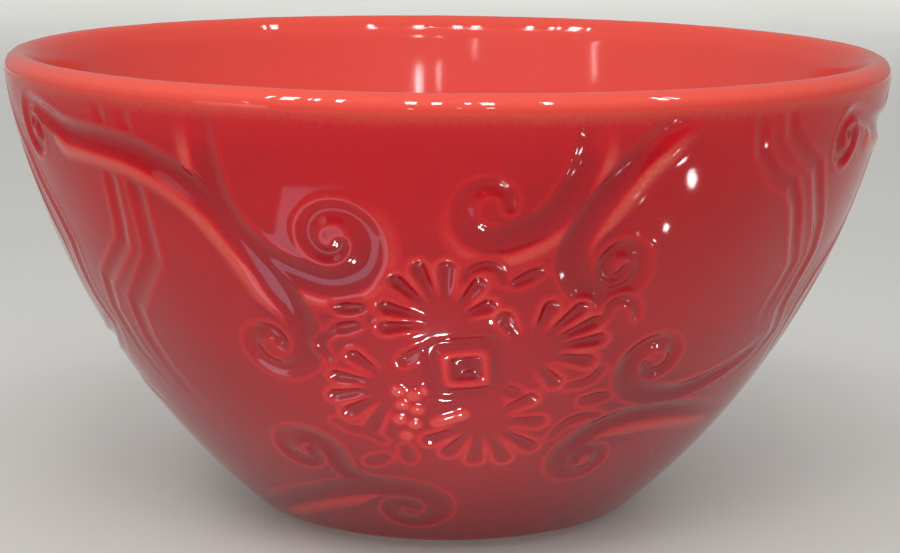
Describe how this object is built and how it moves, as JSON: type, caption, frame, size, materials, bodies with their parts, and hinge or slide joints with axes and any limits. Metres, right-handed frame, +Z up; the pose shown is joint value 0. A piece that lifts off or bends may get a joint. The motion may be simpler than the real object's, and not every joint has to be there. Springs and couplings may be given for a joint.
{
  "type": "bowl",
  "caption": "Deep round-walled table bowl with a full-round lip on a low foot ring, in thick glossy red glaze over moulded scroll relief.",
  "frame": {"origin": "centre of the circle that the foot ring stands on, at ground level", "axes": "+Z up along the bowl's axis; -Y towards the viewer of the picture, +X to the right in it"},
  "size_m": [0.15, 0.15, 0.08],
  "materials": {
    "red_glaze": "glossy",
    "lip_glaze": "glossy",
    "liner_glaze": "glossy",
    "clay": "matte"
  },
  "bodies": {
    "root": {"clay_body": "clay", "foot_ring": "clay", "outer_glaze": "red_glaze", "lip_glaze": "lip_glaze", "inner_glaze": "liner_glaze", "base_glaze": "red_glaze"}
  },
  "joints": []
}
